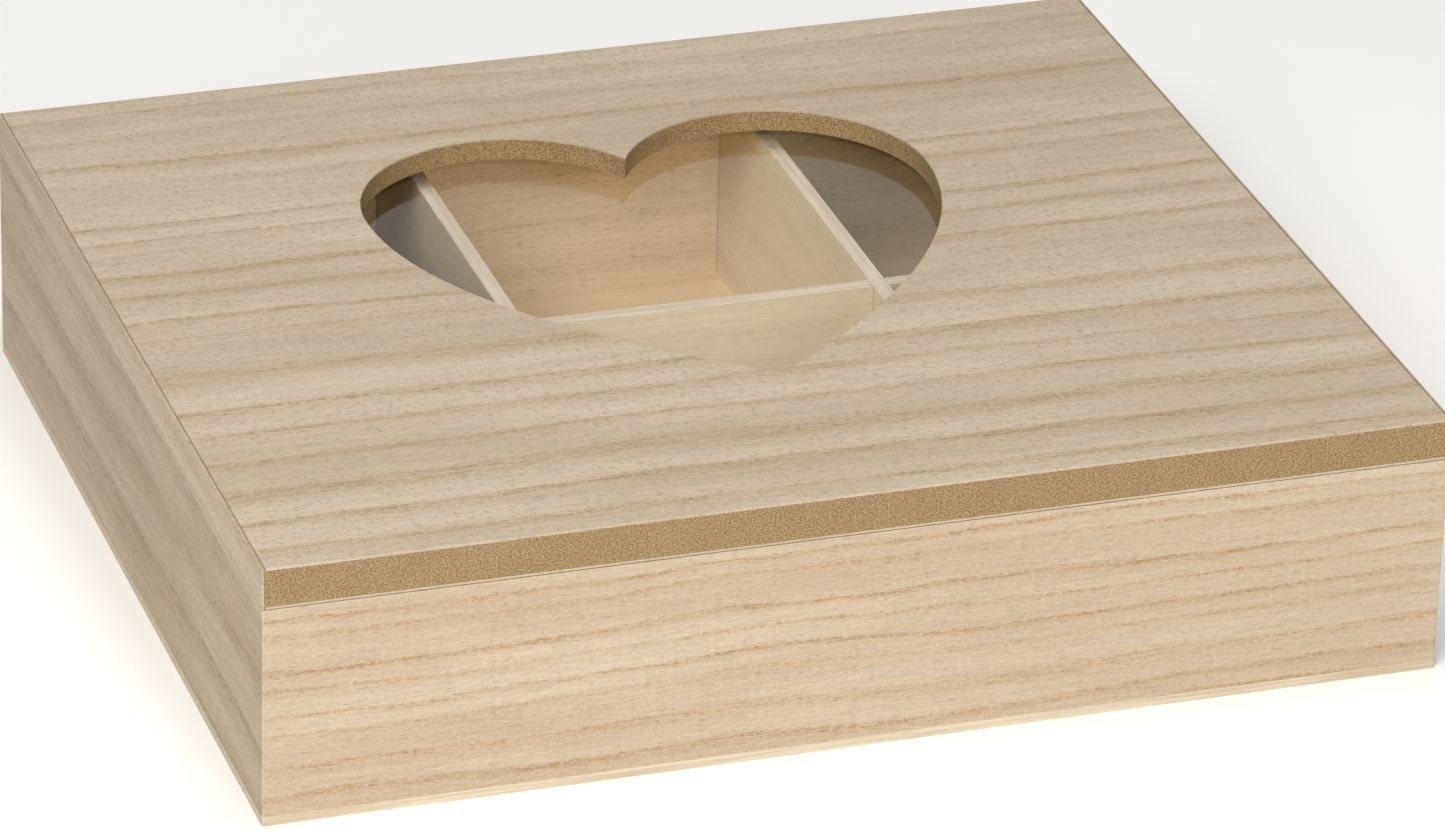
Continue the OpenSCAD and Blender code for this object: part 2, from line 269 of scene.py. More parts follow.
height_slack = 1e-5
soft_angle = math.radians(18)
rim_arris = 0.1 * MM
slat_arris = 0.25 * MM
band_arris = 0.06 * MM
top_skin_arris = 0.08 * MM
under_skin_arris = 0.04 * MM
for name in ("front_wall", "back_wall", "left_wall", "right_wall"):
    sand(name, [rim_z], rim_arris)
for name in ("left_divider", "right_divider", "cross_divider"):
    sand(name, [divider_z], slat_arris)
for name in ("lid_left_band", "lid_right_band"):
    sand(name, [lid_low, lid_high], band_arris)
sand("base_board", [0, base_high.z], slat_arris)
sand("lid_top_veneer", [lid_high], top_skin_arris)
sand("lid_bottom_veneer", [lid_low], under_skin_arris)
no_edge_here = 2
sand("lid_core", [no_edge_here], rim_arris)
prepared = [piece.name for piece in nodes.values() if "arris" in piece.modifiers]
print("boards with the four modifiers:", len(prepared))

# %% [markdown]
# ## Patterns in millimetres
# Wood and dust are easiest to think of in millimetres, so a point's place is first scaled from metres. A
# pattern is then stretched by three numbers: how many of its features fit in a millimetre along X, Y and
# Z. Few along and many across make fibres, and three equal numbers make felt or cloud. A smooth step turns
# a pattern into a mask.


# %% Build the patterns
def in_mm(tree, places):
    """The same places, counted in millimetres."""
    return add(tree, "ShaderNodeVectorMath", {0: places, "Scale": 1 / MM}, operation="SCALE").outputs[0]


def stretch(tree, vector, *scale):
    """Scales a vector by three numbers."""
    return add(tree, "ShaderNodeVectorMath", {0: vector, 1: scale}, operation="MULTIPLY").outputs[0]


def noise(tree, vector, scale, detail=2.0, roughness=0.5):
    """Noise from 0 to 1 in a stretched space."""
    links = {"Vector": stretch(tree, vector, *scale), "Scale": 1.0, "Detail": detail, "Roughness": roughness}
    return add(tree, "ShaderNodeTexNoise", links).outputs["Fac"]


def cells(tree, vector, scale):
    """Cells in a stretched space: the distance to the nearest centre, and a random number for each cell."""
    made = add(tree, "ShaderNodeTexVoronoi", {"Vector": stretch(tree, vector, *scale), "Scale": 1.0})
    lot = add(tree, "ShaderNodeSeparateXYZ", {0: made.outputs["Color"]}).outputs[0]
    return made.outputs["Distance"], lot


def remap(tree, value, low, high, to_low=0.0, to_high=1.0):
    """Moves value from one range to another along a smooth step."""
    links = {"Value": value, "From Min": low, "From Max": high, "To Min": to_low, "To Max": to_high}
    return add(tree, "ShaderNodeMapRange", links, interpolation_type="SMOOTHSTEP").outputs[0]


print("patterns: noise, cells and remap")

# %% [markdown]
# ## Shared effects
# An effect that several materials use, such as grain, is built once as a shader group with named inputs
# and outputs. A material then places the group, gives it its own values and links what comes out to its
# own Principled shader.


# %% Start a shared effect
def group(name, inputs, outputs):
    """An empty shader group with named sockets, and its two ends."""
    tree = bpy.data.node_groups.new(name, "ShaderNodeTree")
    kinds = {"value": "NodeSocketFloat", "vector": "NodeSocketVector", "colour": "NodeSocketColor"}
    for socket, kind, start in inputs:
        made = tree.interface.new_socket(socket, in_out="INPUT", socket_type=kinds[kind])
        if start is not None:
            made.default_value = start
    for socket, kind in outputs:
        tree.interface.new_socket(socket, in_out="OUTPUT", socket_type=kinds[kind])
    return tree, tree.nodes.new("NodeGroupInput").outputs, tree.nodes.new("NodeGroupOutput").inputs


print("shared effects to come: grain, worn arris, glue line, planing nicks")

# %% [markdown]
# ## Paulownia grain
# Paulownia is a pale, fast-grown wood. Each year's growth starts with a line of wide pores, which is cut
# open by the saw and shows as a golden brown, grainy line, and then fades. A flat pattern would smear on
# the edges of a board, so the grain is made in three dimensions: rings round a distant pith. Slow noise
# bends them over a hand's width, small noise over a finger's, and rough noise frays them. Each year gets
# its own random strength. Every board takes the same group with its own place in the tree.

# %% Build the rings
wood, given, result = group(
    "wood_grain",
    [("Coordinates", "vector", None), ("Ring Spacing", "value", 6.0), ("Line Strength", "value", 0.6),
     ("Pore Strength", "value", 0.6), ("Fibre Strength", "value", 0.3), ("Grit Strength", "value", 0.4),
     ("Pale Colour", "colour", (0.7, 0.56, 0.4, 1)), ("Deep Colour", "colour", (0.58, 0.45, 0.3, 1)),
     ("Line Colour", "colour", (0.45, 0.29, 0.13, 1))],
    [("Colour", "colour"), ("Height", "value"), ("Lines", "value")])
fine = in_mm(wood, given["Coordinates"])
from_pith = add(wood, "ShaderNodeVectorMath", {0: stretch(wood, fine, 0, 1, 1)}, operation="LENGTH")

slow_reach_mm = 9.0
small_reach_mm = 1.5
rough_reach_mm = 2.2
slow_bend = calc(wood, "MULTIPLY", noise(wood, fine, (0.011, 0.03, 0.03), detail=2), slow_reach_mm)
small_bend = calc(wood, "MULTIPLY", noise(wood, fine, (0.05, 0.2, 0.2), detail=3), small_reach_mm)
rough_bend = noise(wood, fine, (1.1, 2.2, 2.2), detail=2, roughness=0.8)
rough_bend = calc(wood, "MULTIPLY", rough_bend, rough_reach_mm)
radius = calc(wood, "ADD", from_pith.outputs["Value"], calc(wood, "ADD", slow_bend, small_bend))
radius = calc(wood, "ADD", radius, rough_bend)

years = calc(wood, "DIVIDE", radius, given["Ring Spacing"])
wander_pace = 0.45
wander_in_years = 1.6
weather_links = {"W": calc(wood, "MULTIPLY", years, wander_pace), "Scale": 1.0, "Detail": 1.0}
weather = add(wood, "ShaderNodeTexNoise", weather_links, noise_dimensions="1D").outputs["Fac"]
years = calc(wood, "ADD", years, calc(wood, "MULTIPLY", weather, wander_in_years))
season = calc(wood, "FRACT", years)

weakest_year = 0.35
vigour = add(wood, "ShaderNodeTexWhiteNoise", {"W": calc(wood, "FLOOR", years)}, noise_dimensions="1D")
vigour = calc(wood, "MULTIPLY", vigour.outputs["Value"], 1 - weakest_year)
vigour = calc(wood, "ADD", vigour, weakest_year)
print("rings:", len(wood.nodes), "nodes")

# %% [markdown]
# ## The line of each year
# A year's line has two parts: a soft band that deepens slowly and stops at once, and a dark crest near its
# end. The crest is broken into long threads and then into dots, because it is a row of cut pores. Where
# each part starts and is full is a share of the year, from 0 to 1.

# %% Build the lines
band_starts = 0.3
band_full = 0.88
crest_starts = 0.66
crest_full = 0.86
both_fade = 0.9
year_end = remap(wood, season, 1.0, both_fade)
soft_band = calc(wood, "MULTIPLY", remap(wood, season, band_starts, band_full), year_end)
crest = calc(wood, "MULTIPLY", remap(wood, season, crest_starts, crest_full), year_end)
threads = noise(wood, fine, (0.08, 1.8, 1.8), detail=3, roughness=0.7)
threads = remap(wood, threads, 0.44, 0.60, to_high=1.15)
dots = noise(wood, fine, (1.2, 2.6, 2.6), detail=2, roughness=0.75)
dots = remap(wood, dots, 0.4, 0.6, to_low=0.1, to_high=1.6)
crest = calc(wood, "MULTIPLY", calc(wood, "MULTIPLY", crest, threads), dots)

band_share = 0.34
crest_share = 0.9
soft_band = calc(wood, "MULTIPLY", soft_band, band_share)
crest = calc(wood, "MULTIPLY", crest, crest_share)
lines = calc(wood, "ADD", soft_band, crest)
lines = calc(wood, "MULTIPLY", lines, vigour)
print("rings and lines:", len(wood.nodes), "nodes")

# %% [markdown]
# ## Fibres, pores and flecks
# Between the lines lie fine fibres and short marks, all of them along the board. Fibres are two sizes of
# noise drawn out along the grain. Dark pores and pale flecks are drawn-out cells: a random number picks
# which cells show, and pores are more common inside a line. Grit is the fuzz that a saw leaves.

# %% Build the fibres and the pores
broad = noise(wood, fine, (0.04, 0.9, 0.9), detail=3, roughness=0.6)
narrow = noise(wood, fine, (0.2, 3.2, 3.2), detail=2, roughness=0.65)
fibre = calc(wood, "SUBTRACT", calc(wood, "ADD", broad, narrow), 1.0)
grit = calc(wood, "SUBTRACT", noise(wood, fine, (1.0, 2.1, 2.1), detail=3, roughness=0.85), 0.5)


def marks(places, scale, chosen_above):
    """Short marks: the middles of those cells whose random number is above chosen_above."""
    distance, lot = cells(wood, places, scale)
    mark_ends = 0.45
    mark_full = 0.15
    chosen = calc(wood, "GREATER_THAN", lot, chosen_above)
    return calc(wood, "MULTIPLY", remap(wood, distance, mark_ends, mark_full), chosen)


rare_pores = 0.78
more_in_lines = 0.6
rare_flecks = 0.8
pore_limit = calc(wood, "SUBTRACT", rare_pores, calc(wood, "MULTIPLY", lines, more_in_lines))
pore = marks(fine, (0.34, 2.6, 2.6), pore_limit)
fleck = marks(fine, (0.45, 2.8, 2.8), rare_flecks)
print("with fibres and pores:", len(wood.nodes), "nodes")

# %% [markdown]
# ## The wood's colour
# The colour starts between pale and deep in slow clouds, takes the golden brown of the lines and is then
# made lighter or darker by fibres, marks and grit. Multiplying the colour keeps its hue, as real shadows
# between fibres do.


# %% Mix the wood's colour
def blend(tree, share, first, second):
    """Mixes two colours."""
    made = add(tree, "ShaderNodeMix", data_type="RGBA")
    # The sockets of the colour mix have the same names as those of the number mix, so they go by number.
    for index, value in ((0, share), (6, first), (7, second)):
        feed(tree, made.inputs[index], value)
    return made.outputs[2]


clouds = remap(wood, noise(wood, fine, (0.008, 0.07, 0.07), detail=3), 0.3, 0.7)
colour = blend(wood, clouds, given["Pale Colour"], given["Deep Colour"])
line_share = calc(wood, "MULTIPLY", lines, given["Line Strength"], clamp=True)
colour = blend(wood, line_share, colour, given["Line Colour"])

pore_weight = 1.7
mark_contrast = 0.16
marked = calc(wood, "SUBTRACT", fleck, calc(wood, "MULTIPLY", pore, pore_weight))
tone = calc(wood, "MULTIPLY", marked, given["Pore Strength"])
tone = calc(wood, "ADD", calc(wood, "MULTIPLY", tone, mark_contrast), 1.0)
tone = calc(wood, "ADD", tone, calc(wood, "MULTIPLY", fibre, given["Fibre Strength"]))
tone = calc(wood, "ADD", tone, calc(wood, "MULTIPLY", grit, given["Grit Strength"]))
toned = add(wood, "ShaderNodeVectorMath", {0: colour, "Scale": tone}, operation="SCALE").outputs[0]
print("with the colour:", len(wood.nodes), "nodes")

# %% [markdown]
# ## The wood's height
# The shader turns the height into a bump. It comes from the same patterns as the colour, so a dark pore is
# also a small pit, a line is a shallow groove, and fibres and grit stand up.

# %% Mix the wood's height
fibre_height = 0.6
pore_depth = 0.7
line_depth = 0.3
grit_height = 1.2
height = calc(wood, "MULTIPLY", fibre, fibre_height)
height = calc(wood, "SUBTRACT", height, calc(wood, "MULTIPLY", pore, pore_depth))
height = calc(wood, "SUBTRACT", height, calc(wood, "MULTIPLY", lines, line_depth))
height = calc(wood, "ADD", height, calc(wood, "MULTIPLY", grit, grit_height))
wood.links.new(toned, result["Colour"])
wood.links.new(height, result["Height"])
wood.links.new(lines, result["Lines"])
print("wood group:", len(wood.nodes), "nodes")

# %% [markdown]
# ## Worn arrises
# Sandpaper leaves an arris paler. How near a point is to an edge depends only on where it lies on its
# board, so one group compares it with the board's low and high corners. Of the three distances to the
# nearest faces, the smallest is the face itself and the middle one is the distance to an edge. Slow noise
# makes the worn strip uneven.

# %% Build the worn arris
arris, given, result = group(
    "worn_arris",
    [("Coordinates", "vector", None), ("Low Corner", "vector", None), ("High Corner", "vector", None),
     ("Width", "value", 0.5)],
    [("Mask", "value")])
from_low = add(arris, "ShaderNodeVectorMath", {0: given["Coordinates"], 1: given["Low Corner"]},
               operation="SUBTRACT").outputs[0]
from_high = add(arris, "ShaderNodeVectorMath", {0: given["High Corner"], 1: given["Coordinates"]},
                operation="SUBTRACT").outputs[0]
nearest = add(arris, "ShaderNodeVectorMath", {0: from_low, 1: from_high}, operation="MINIMUM").outputs[0]
x, y, z = add(arris, "ShaderNodeSeparateXYZ", {0: nearest}).outputs
least = calc(arris, "MINIMUM", x, calc(arris, "MINIMUM", y, z))
most = calc(arris, "MAXIMUM", x, calc(arris, "MAXIMUM", y, z))
total = calc(arris, "ADD", x, calc(arris, "ADD", y, z))
middle = calc(arris, "SUBTRACT", total, calc(arris, "ADD", least, most))
ragged = noise(arris, in_mm(arris, given["Coordinates"]), (0.35, 0.35, 0.35), detail=3, roughness=0.6)
ragged = remap(arris, ragged, 0.35, 0.65, to_low=0.35, to_high=1.1)
worn_width = calc(arris, "MULTIPLY", calc(arris, "MULTIPLY", given["Width"], MM), ragged)
share = calc(arris, "DIVIDE", middle, worn_width)
fully_worn = 0.15
arris.links.new(remap(arris, share, 1.0, fully_worn), result["Mask"])
print("worn arris:", len(arris.nodes), "nodes")

# %% [markdown]
# ## Glue lines
# A glued joint shows as a dark hairline. On this box the visible joints lie at the same distance from the
# middle on both sides, so the group needs one distance and a width.

# %% Build the glue line
joint, given, result = group(
    "glue_line",
    [("Coordinates", "vector", None), ("From Middle", "value", band_x), ("Width", "value", 0.15)],
    [("Mask", "value")])
x = add(joint, "ShaderNodeSeparateXYZ", {0: given["Coordinates"]}).outputs[0]
gap = calc(joint, "ABSOLUTE", calc(joint, "SUBTRACT", calc(joint, "ABSOLUTE", x), given["From Middle"]))
share = calc(joint, "DIVIDE", gap, calc(joint, "MULTIPLY", given["Width"], MM))
fully_dark = 0.3
joint.links.new(remap(joint, share, 1.0, fully_dark), result["Mask"])
print("glue line:", len(joint.nodes), "nodes")

# %% [markdown]
# ## Planing marks
# The skins are sliced and then sanded across the grain, which leaves short slanting nicks in patches. They
# are cells stretched into strokes, turned against the grain and cut off by slow noise.

# %% Build the planing marks
nicks, given, result = group(
    "planing_nicks",
    [("Coordinates", "vector", None), ("Slant", "value", 1.1), ("Coverage", "value", 0.5)],
    [("Mask", "value")])
fine = in_mm(nicks, given["Coordinates"])
slant_links = {"Vector": fine, "Angle": given["Slant"]}
slanted = add(nicks, "ShaderNodeVectorRotate", slant_links, rotation_type="Z_AXIS").outputs[0]
distance, lot = cells(nicks, slanted, (0.42, 1.25, 0.6))
stroke_ends = 0.42
stroke_full = 0.15
rare_strokes = 0.45
stroke = remap(nicks, distance, stroke_ends, stroke_full)
stroke = calc(nicks, "MULTIPLY", stroke, calc(nicks, "GREATER_THAN", lot, rare_strokes))
patch = noise(nicks, fine, (0.012, 0.035, 0.035), detail=3, roughness=0.6)
bare_above = 0.75
less_with_coverage = 0.5
limit = calc(nicks, "SUBTRACT", bare_above, calc(nicks, "MULTIPLY", given["Coverage"], less_with_coverage))
patch = remap(nicks, calc(nicks, "SUBTRACT", patch, limit), -0.05, 0.08)
nicks.links.new(calc(nicks, "MULTIPLY", stroke, patch), result["Mask"])
print("planing marks:", len(nicks.nodes), "nodes")

# %% [markdown]
# ## Sawn edges
# A slat's top and the outer edge of the base are fresh from the saw: greyer than the faces, with streaks
# along the grain. Two short functions say where the saw has cut, and a third lays the sawn colour there.


# %% Find and colour the sawn edges
def top_edge(tree, places):
    """A mask for the last half millimetre below a slat's top."""
    starts = divider_z - 0.5 * MM
    full = divider_z - 0.2 * MM
    z = add(tree, "ShaderNodeSeparateXYZ", {0: places}).outputs[2]
    return remap(tree, z, starts, full)


def outer_edge(tree, places):
    """A mask for the last half millimetre inside the box's outline."""
    starts = -0.6 * MM
    full = -0.3 * MM
    spot = add(tree, "ShaderNodeSeparateXYZ", {0: places}).outputs
    past_side = calc(tree, "SUBTRACT", calc(tree, "ABSOLUTE", spot["X"]), half_w)
    past_front = calc(tree, "SUBTRACT", calc(tree, "ABSOLUTE", spot["Y"]), half_d)
    return remap(tree, calc(tree, "MAXIMUM", past_side, past_front), starts, full)


def saw(tree, grain_places, mask, colour):
    """Lays streaky sawn wood over a colour where the mask says so."""
    streak = noise(tree, in_mm(tree, grain_places), (0.03, 1.1, 1.1), detail=3, roughness=0.6)
    streak = remap(tree, streak, 0.38, 0.62)
    sawn_dark = (0.47, 0.395, 0.305, 1)
    sawn_light = (0.62, 0.55, 0.46, 1)
    sawn_strength = 0.8
    sawn_wood = blend(tree, streak, sawn_dark, sawn_light)
    return blend(tree, calc(tree, "MULTIPLY", mask, sawn_strength), colour, sawn_wood)


print("sawn edges: the slats' tops at", round(divider_z / MM, 1), "mm and the base's outline")

# %% [markdown]
# ## Planed, worn and glued places
# The last three effects take a board's colour and change it in places. Planing also scratches, so it gives
# back a height as well. The nicks are a darker share of the board's own deep colour, and the worn arris is
# a paler share of its pale one, so both suit every board.


# %% Lay the marks on a board
def place_group(tree, effect, links):
    """Puts a shared effect in a material with that material's own values."""
    return add(tree, "ShaderNodeGroup", links, node_tree=effect).outputs


def plane(tree, grain_places, coverage, deep, colour, height):
    """Adds planing nicks to a colour and a height."""
    nick = place_group(tree, nicks, {"Coordinates": grain_places, "Coverage": coverage})["Mask"]
    nick_brown = (deep[0] * 0.82, deep[1] * 0.78, deep[2] * 0.72, 1)
    nick_strength = 0.7
    nick_depth = 0.4
    colour = blend(tree, calc(tree, "MULTIPLY", nick, nick_strength), colour, nick_brown)
    height = calc(tree, "SUBTRACT", height, calc(tree, "MULTIPLY", nick, nick_depth))
    return colour, height


def wear_down(tree, places, board, wear, pale, colour):
    """Makes a board's arrises paler."""
    low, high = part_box(board)
    worn_mm = 0.4
    rubbed_paler = 1.16
    links = {"Coordinates": places, "Low Corner": low, "High Corner": high, "Width": worn_mm}
    worn = place_group(tree, arris, links)["Mask"]
    rubbed = tuple(min(1.0, v * rubbed_paler) for v in pale)
    return blend(tree, calc(tree, "MULTIPLY", worn, wear), colour, (*rubbed, 1))


def draw_glue(tree, places, colour):
    """Draws the hairline where a skin meets a side band."""
    hairline_mm = 0.3
    glue_strength = 0.65
    glue_brown = (0.14, 0.1, 0.06, 1)
    links = {"Coordinates": places, "From Middle": band_x, "Width": hairline_mm}
    seam = place_group(tree, joint, links)["Mask"]
    return blend(tree, calc(tree, "MULTIPLY", seam, glue_strength), colour, glue_brown)


print("glue hairline at", round(band_x / MM, 1), "mm from the middle")

# %% [markdown]
# ## Starting a finish
# Every finish needs the same start: a material with its Principled shader, and the piece's own coordinates,
# which are the real places of its points, so a pattern keeps its true size. Most also end alike: a height
# goes through a Bump node, whose distance is the true depth of the relief.


# %% Start a finish and give it relief
def material(name):
    """A new material with its node tree, its Principled shader and the piece's own coordinates."""
    made = bpy.data.materials.new(name)
    made.use_nodes = True
    tree = made.node_tree
    shader = tree.nodes["Principled BSDF"]
    places = tree.nodes.new("ShaderNodeTexCoord").outputs["Object"]
    return made, tree, shader, places


def roughen(tree, shader, height, strength, distance):
    """Feeds a height pattern to the shader as a bump; distance is its depth in metres."""
    bump = add(tree, "ShaderNodeBump", {"Height": height, "Strength": strength, "Distance": distance})
    feed(tree, shader.inputs["Normal"], bump.outputs[0])


print("pieces that need a finish:", len(nodes))

# %% [markdown]
# ## A wooden finish
# Each board is its own cut from the tree, so each gets its own material: the same groups, turned so that
# the grain runs along the board, moved to another place in the tree and tinted a little. A tilt of under a
# degree keeps the lines from running dead parallel to the edges, as no sawyer cuts perfectly straight. The
# wood is matt, and a little rougher where its lines are.

# %% Mix a wooden finish
grain_tilt = 0.012
GRAIN_TURN = {"X": (0, 0, grain_tilt), "Y": (0, 0, math.radians(-90) + grain_tilt)}
face_roughness = 0.62
line_roughness = 0.2
relief = 0.12 * MM


def wooden(name, along, pith, spacing, pale, deep, line, lines=0.75, pores=0.6, fibres=0.3, grit=0.4,
           bump=0.4, wear=0.2, board=None, glued=False, planed=0.0, sawn=None):
    """A wooden finish; along is the axis of the grain, pith is where the tree's middle lies, in mm.

    board names the board whose arrises are worn, and sawn is the function that finds its sawn edge.
    """
    made, tree, shader, places = material(name)
    origin = [v * MM for v in pith]
    moved = add(tree, "ShaderNodeVectorMath", {0: places, 1: origin}, operation="SUBTRACT").outputs[0]
    turned = add(tree, "ShaderNodeMapping", {"Vector": moved, "Rotation": GRAIN_TURN[along]}).outputs[0]
    grain = place_group(tree, wood, {
        "Coordinates": turned, "Ring Spacing": spacing, "Line Strength": lines, "Pore Strength": pores,
        "Fibre Strength": fibres, "Grit Strength": grit, "Pale Colour": (*pale, 1), "Deep Colour": (*deep, 1),
        "Line Colour": (*line, 1)})
    colour = grain["Colour"]
    height = grain["Height"]
    if planed:
        colour, height = plane(tree, turned, planed, deep, colour, height)
    if sawn:
        colour = saw(tree, turned, sawn(tree, places), colour)
    if board:
        colour = wear_down(tree, places, board, wear, pale, colour)
    if glued:
        colour = draw_glue(tree, places, colour)
    feed(tree, shader.inputs["Base Color"], colour)
    rough = calc(tree, "ADD", face_roughness, calc(tree, "MULTIPLY", grain["Lines"], line_roughness))
    feed(tree, shader.inputs["Roughness"], rough)
    shader.inputs["Specular IOR Level"].default_value = 0.3
    roughen(tree, shader, height, bump, relief)
    return made


print("grain tilt:", round(math.degrees(grain_tilt), 2), "degrees")

# %% [markdown]
# ## The four walls
# The front and the right wall are the same golden cut. The left wall has wide, quiet rings, and its colour is
# darker and greyer by painted shade, which keeps the left side the darkest face. The back wall, seen through
# the window, is warm and almost without lines. The grain runs along X on the front and the back and along Y
# on the sides, always the long way of the board.


# %% Dress the walls
def dress(name, finish):
    """Gives a piece its finish in every material slot."""
    for slot in nodes[name].material_slots:
        slot.material = finish


WALL = dict(pale=(0.56, 0.467, 0.354), deep=(0.495, 0.391, 0.278), line=(0.39, 0.262, 0.112), lines=0.85,
            grit=0.75)
# The left wall's pale and deep colours are darker and greyer than the front's: painted shade of the left
# side, with its own wide, quiet rings.
LEFT_WALL_WITH_PAINTED_SHADE = dict(pale=(0.508, 0.423, 0.303), deep=(0.414, 0.328, 0.22), line=(0.27, 0.20, 0.12), lines=0.4,
            grit=0.85, fibres=0.45, bump=0.6, wear=0.6)
INSIDE = dict(pale=(0.74, 0.61, 0.395), deep=(0.66, 0.52, 0.31), line=(0.46, 0.30, 0.145), lines=0.3,
              pores=0.9)
front = wooden("front_wall_wood", "X", pith=(90, -106, -45), spacing=5.8, board="front_wall", **WALL)
back = wooden("back_wall_wood", "X", pith=(-240, 130, -38), spacing=11.0, board="back_wall", **INSIDE)
left = wooden("left_wall_wood", "Y", pith=(-122, 31, -70), spacing=15.0, board="left_wall", **LEFT_WALL_WITH_PAINTED_SHADE)
right = wooden("right_wall_wood", "Y", pith=(123, -112, 110), spacing=9.0, board="right_wall", **WALL)
dress("front_wall", front)
dress("back_wall", back)
dress("left_wall", left)
dress("right_wall", right)
print("walls dressed")

# %% [markdown]
# ## Slats and base
# The slats and the base are cut from paler, calmer wood than the walls. They show sawn edges: the slats
# along their tops, the base all round. The left slat's colour is darker by painted shade: the lid's shadow
# over its compartment.

# %% Dress the slats and the base
SLAT = dict(pale=(0.84, 0.725, 0.52), deep=(0.79, 0.665, 0.45), line=(0.58, 0.46, 0.28), lines=0.22,
            pores=0.3, fibres=0.25, grit=0.25, sawn=top_edge)
# The left slat's colours are darker: painted shade for the lid's shadow over its compartment.
SLAT_WITH_PAINTED_SHADE = dict(SLAT, pale=(0.74, 0.62, 0.44), deep=(0.68, 0.555, 0.375))
BASE = dict(pale=(0.88, 0.725, 0.46), deep=(0.83, 0.665, 0.40), line=(0.66, 0.50, 0.28), lines=0.4,
            pores=0.35, fibres=0.2, grit=0.2, sawn=outer_edge)
left_slat = wooden("left_slat_wood", "Y", pith=(-70, 9, 20), spacing=5.0, board="left_divider", **SLAT_WITH_PAINTED_SHADE)
right_slat = wooden("right_slat_wood", "Y", pith=(75, -17, 16), spacing=5.5, board="right_divider", **SLAT)
cross_slat = wooden("cross_slat_wood", "X", pith=(35, 30, 70), spacing=5.0, board="cross_divider", **SLAT)
base = wooden("base_wood", "X", pith=(-60, 150, -30), spacing=9.0, board="base_board", **BASE)
dress("left_divider", left_slat)
dress("right_divider", right_slat)
dress("cross_divider", cross_slat)
dress("base_board", base)
print("slats and base dressed")

# %% [markdown]
# ## Lid skins and bands
# The lid's two skins are sliced wood with wide rings and planing nicks, more of them on top. The narrow
# bands on its sides are other cuts, the right one from the walls' wood, with their grain along the band. A
# hairline of glue shows where they meet the skins. All four are too thin for a worn strip, so no board is
# named for them.

# %% Dress the lid
SKIN = dict(pale=(0.54, 0.459, 0.355), deep=(0.46, 0.38, 0.28), line=(0.36, 0.255, 0.14), lines=0.85,
            grit=0.75, bump=0.6, glued=True)
BAND = dict(pale=(0.55, 0.46, 0.335), deep=(0.485, 0.39, 0.27), line=(0.34, 0.25, 0.15), lines=0.3,
            grit=0.85, fibres=0.4, bump=0.6, glued=True)
top_skin = wooden("lid_top_wood", "X", pith=(0, -165, 50), spacing=13.0, planed=0.8, **SKIN)
under_skin = wooden("lid_under_wood", "X", pith=(90, 190, 60), spacing=11.0, planed=0.4, **SKIN)
left_band = wooden("left_band_wood", "Y", pith=(-124, 64, 120), spacing=10.0, **BAND)
right_band = wooden("right_band_wood", "Y", pith=(124, -24, -60), spacing=9.0, glued=True, **WALL)
dress("lid_top_veneer", top_skin)
dress("lid_bottom_veneer", under_skin)
dress("lid_left_band", left_band)
dress("lid_right_band", right_band)
print("lid dressed")

# %% [markdown]
# ## Fibreboard
# The lid's core is medium-density fibreboard: wood fibre, ground fine and pressed. A sawn edge is an even
# golden brown with a coarse, felt-like grain of paler and darker fibres, with no direction at all. Two
# sizes of noise make the felt, and scattered cells make the single fibres that stand out.

# %% Make the fibreboard
dark_fibre = (0.205, 0.132, 0.053, 1)
light_fibre = (0.41, 0.297, 0.155, 1)
single_fibre = (0.49, 0.38, 0.225, 1)
fibreboard, tree, shader, places = material("fibreboard_felt")
fine = in_mm(tree, places)
felt = noise(tree, fine, (2.1, 2.4, 2.4), detail=3, roughness=0.85)
patch = noise(tree, fine, (0.16, 0.16, 0.16), detail=3, roughness=0.5)
distance, lot = cells(tree, fine, (1.5, 2.4, 2.0))
rare_strands = 0.7
strand = calc(tree, "GREATER_THAN", lot, rare_strands)
strand = calc(tree, "MULTIPLY", remap(tree, distance, 0.45, 0.1), strand)

patch_share = 0.3
share = calc(tree, "ADD", remap(tree, felt, 0.39, 0.61), calc(tree, "MULTIPLY", patch, patch_share))
share = calc(tree, "SUBTRACT", share, patch_share / 2, clamp=True)
colour = blend(tree, share, dark_fibre, light_fibre)
colour = blend(tree, calc(tree, "MULTIPLY", strand, 0.5), colour, single_fibre)
feed(tree, shader.inputs["Base Color"], colour)
feed(tree, shader.inputs["Roughness"], remap(tree, felt, 0.2, 0.8, to_low=0.75, to_high=0.95))
shader.inputs["Specular IOR Level"].default_value = 0.2

strand_height = 0.3
height = calc(tree, "ADD", felt, calc(tree, "MULTIPLY", strand, strand_height))
roughen(tree, shader, height, strength=0.5, distance=0.2 * MM)
dress("lid_core", fibreboard)
print("fibreboard:", len(tree.nodes), "nodes")

# %% [markdown]
# ## The clear pane
# The pane is a sheet of clear acrylic. A thin sheet bends what is behind it too little to see, so it is
# made as what the eye gets: a view straight through, and a mirror image whose strength grows towards a
# low angle. A white metal shows the mirror image, and its Alpha is how strong that image is: the Fresnel
# node gives the strength, and Backfacing keeps the far face from doubling it. Faint smears of dust make
# the mirror image a little softer in places.

# %% Make the pane
acrylic_ior = 1.49
pane, tree, shader, places = material("clear_acrylic")
smear = noise(tree, in_mm(tree, places), (0.03, 0.05, 0.05), detail=4, roughness=0.6)
facing = calc(tree, "SUBTRACT", 1.0, add(tree, "ShaderNodeNewGeometry").outputs["Backfacing"])
strength = calc(tree, "MULTIPLY", add(tree, "ShaderNodeFresnel", {"IOR": acrylic_ior}).outputs[0], facing)
shader.inputs["Base Color"].default_value = (1, 1, 1, 1)
shader.inputs["Metallic"].default_value = 1.0
feed(tree, shader.inputs["Roughness"], remap(tree, smear, 0.3, 0.7, to_low=0.02, to_high=0.09))
feed(tree, shader.inputs["Alpha"], strength)
dress("window_pane", pane)
print("pane:", len(tree.nodes), "nodes")

# %% [markdown]
# ## Tape
# The pane is held by four strips of thin white double-sided tape, which show from below through the pane.
# The paper of the tape is a little uneven, both in colour and in height.

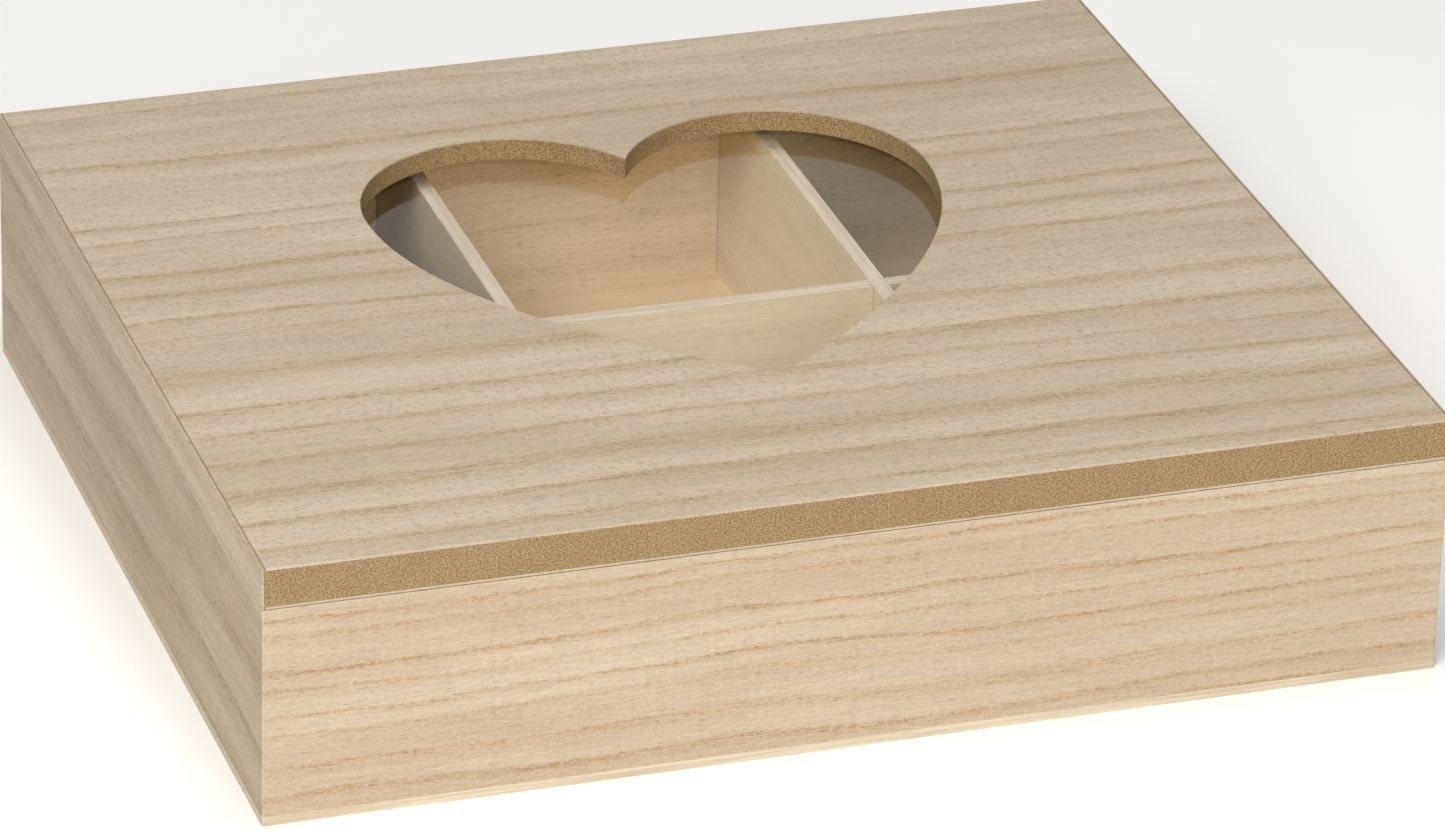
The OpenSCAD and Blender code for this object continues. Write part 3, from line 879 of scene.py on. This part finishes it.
# %% Make the tape
tape, tree, shader, places = material("white_tape")
weave = noise(tree, in_mm(tree, places), (0.9, 0.9, 0.9), detail=4, roughness=0.7)
tape_shade = (0.62, 0.61, 0.57, 1)
tape_white = (0.76, 0.755, 0.72, 1)
colour = blend(tree, remap(tree, weave, 0.35, 0.65), tape_shade, tape_white)
feed(tree, shader.inputs["Base Color"], colour)
shader.inputs["Roughness"].default_value = 0.55
roughen(tree, shader, weave, strength=0.3, distance=0.1 * MM)
dress("pane_tape", tape)
print("tape:", len(tree.nodes), "nodes")

# %% [markdown]
# ## Brass
# The hinges are stamped brass, tumbled until they are satin, with fine scratches and a browner film where
# fingers and cloths don't reach. The screws are the same brass, polished a little more by the driver, and
# the pins are drawn wire with fewer scratches.


# %% Make the brass
clean_brass = (0.80, 0.60, 0.27, 1)
brown_film = (0.42, 0.27, 0.10, 1)
scratch_roughness = 0.25
film_roughness = 0.12


def brass(name, roughness, scratches, film):
    """Satin brass with scratches along X and a patchy brown film."""
    made, tree, shader, places = material(name)
    fine = in_mm(tree, places)
    scratch = noise(tree, fine, (0.8, 14.0, 14.0), detail=3, roughness=0.7)
    cloud = noise(tree, fine, (0.16, 0.22, 0.22), detail=4, roughness=0.6)
    film_share = remap(tree, cloud, 0.35, 0.7, to_high=film)
    feed(tree, shader.inputs["Base Color"], blend(tree, film_share, clean_brass, brown_film))
    shader.inputs["Metallic"].default_value = 1.0
    rough = calc(tree, "MULTIPLY", calc(tree, "SUBTRACT", scratch, 0.5), scratch_roughness)
    rough = calc(tree, "ADD", roughness, rough)
    rough = calc(tree, "ADD", rough, calc(tree, "MULTIPLY", cloud, film_roughness))
    feed(tree, shader.inputs["Roughness"], rough)
    roughen(tree, shader, scratch, strength=scratches, distance=0.03 * MM)
    return made


leaf_brass = brass("hinge_leaf_brass", roughness=0.30, scratches=0.25, film=0.5)
pin_brass = brass("hinge_pin_brass", roughness=0.24, scratches=0.15, film=0.35)
screw_brass = brass("screw_head_brass", roughness=0.22, scratches=0.2, film=0.45)
for hinge in ("left_hinge", "right_hinge"):
    dress(hinge + "_body_leaf", leaf_brass)
    dress(hinge + "_lid_leaf", leaf_brass)
    dress(hinge + "_pin", pin_brass)
for name in ("body_screws", "lid_screws"):
    dress(name, screw_brass)
print("hinges and screws dressed")
